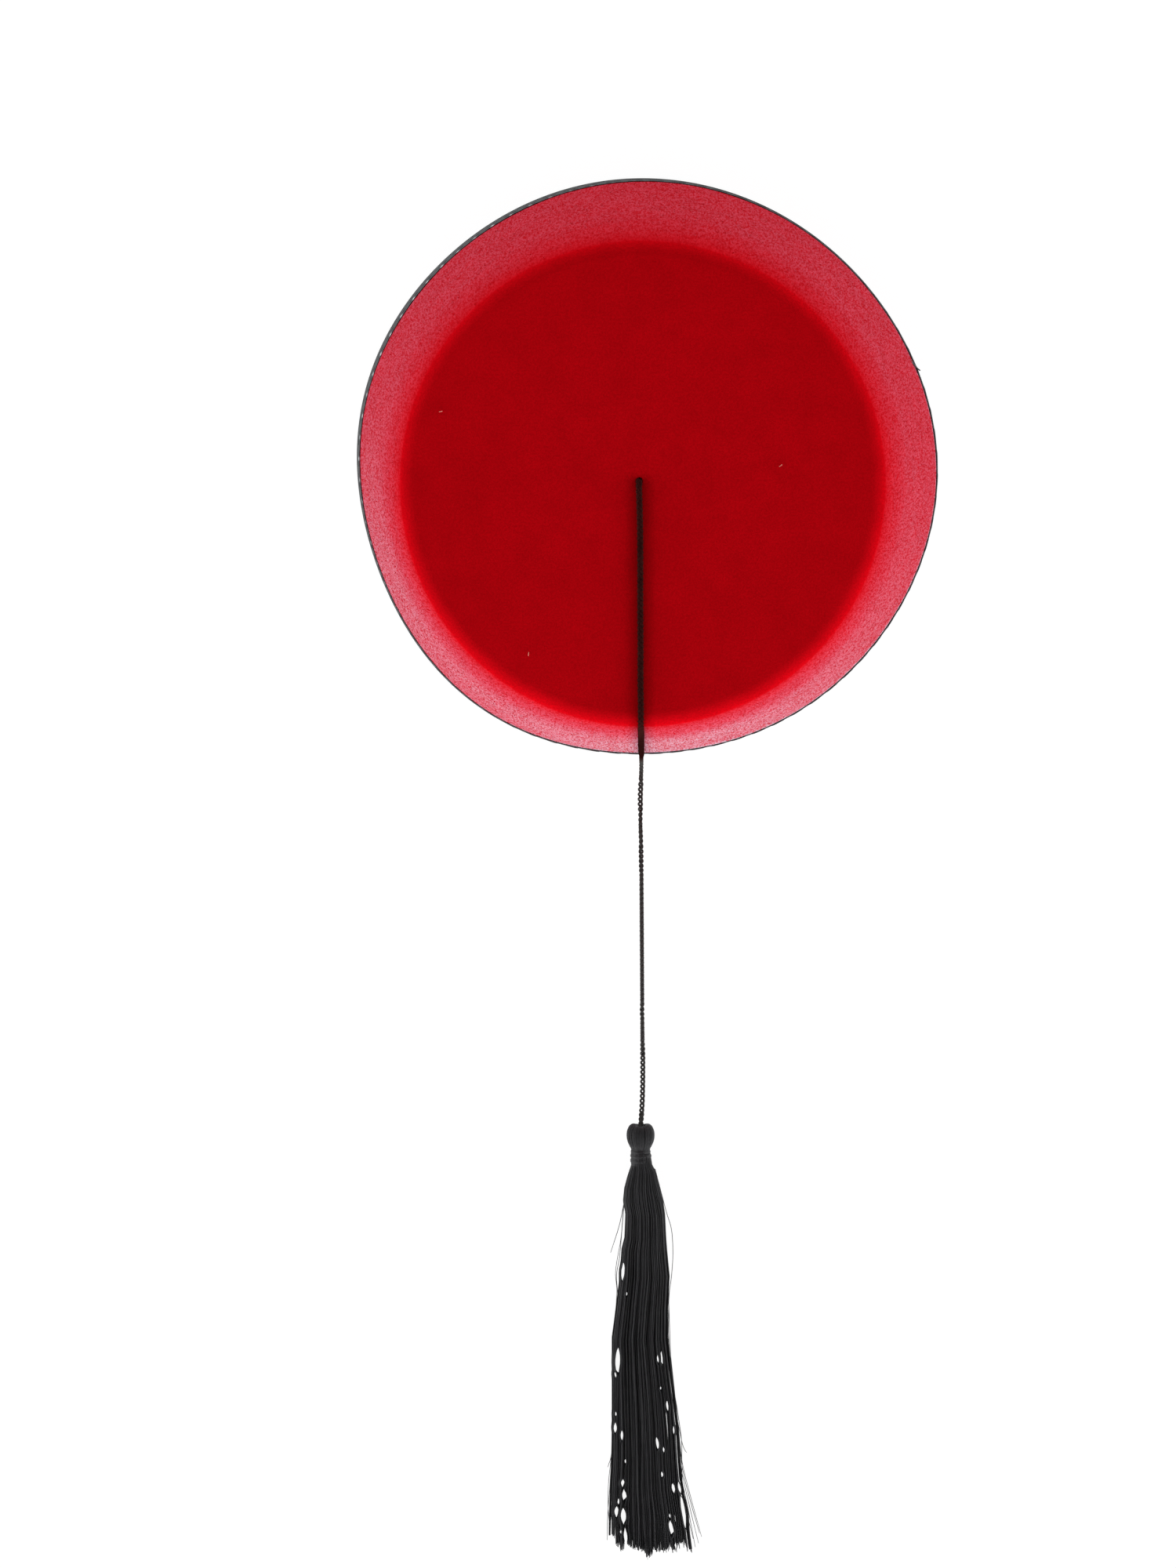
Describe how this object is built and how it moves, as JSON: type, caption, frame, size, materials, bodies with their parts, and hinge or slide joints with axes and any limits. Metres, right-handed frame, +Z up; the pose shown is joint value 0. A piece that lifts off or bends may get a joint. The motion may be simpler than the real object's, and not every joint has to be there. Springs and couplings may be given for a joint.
{
  "type": "fez hat",
  "caption": "Brimless felt hat with a flat round top and tapering wall, a bound rim and a tassel on a braided cord from the middle of the top.",
  "frame": {"origin": "middle of the rim's underside, on the surface that the hat rests on", "axes": "+Z up through the middle of the top, -Y towards the tassel"},
  "size_m": [0.1911, 0.461, 0.1204],
  "materials": {
    "felt": "moulded wool-look felt, dense short nap",
    "ribbon": "woven ribbon, folded and stitched",
    "cord": "flat open braid",
    "thread": "satin rayon-look thread"
  },
  "bodies": {
    "root": {"crown_shell": "felt", "rim_binding": "ribbon", "cord_knot": "cord", "tassel_cord": "cord", "tassel": "thread", "tassel_band": "thread"}
  },
  "joints": []
}
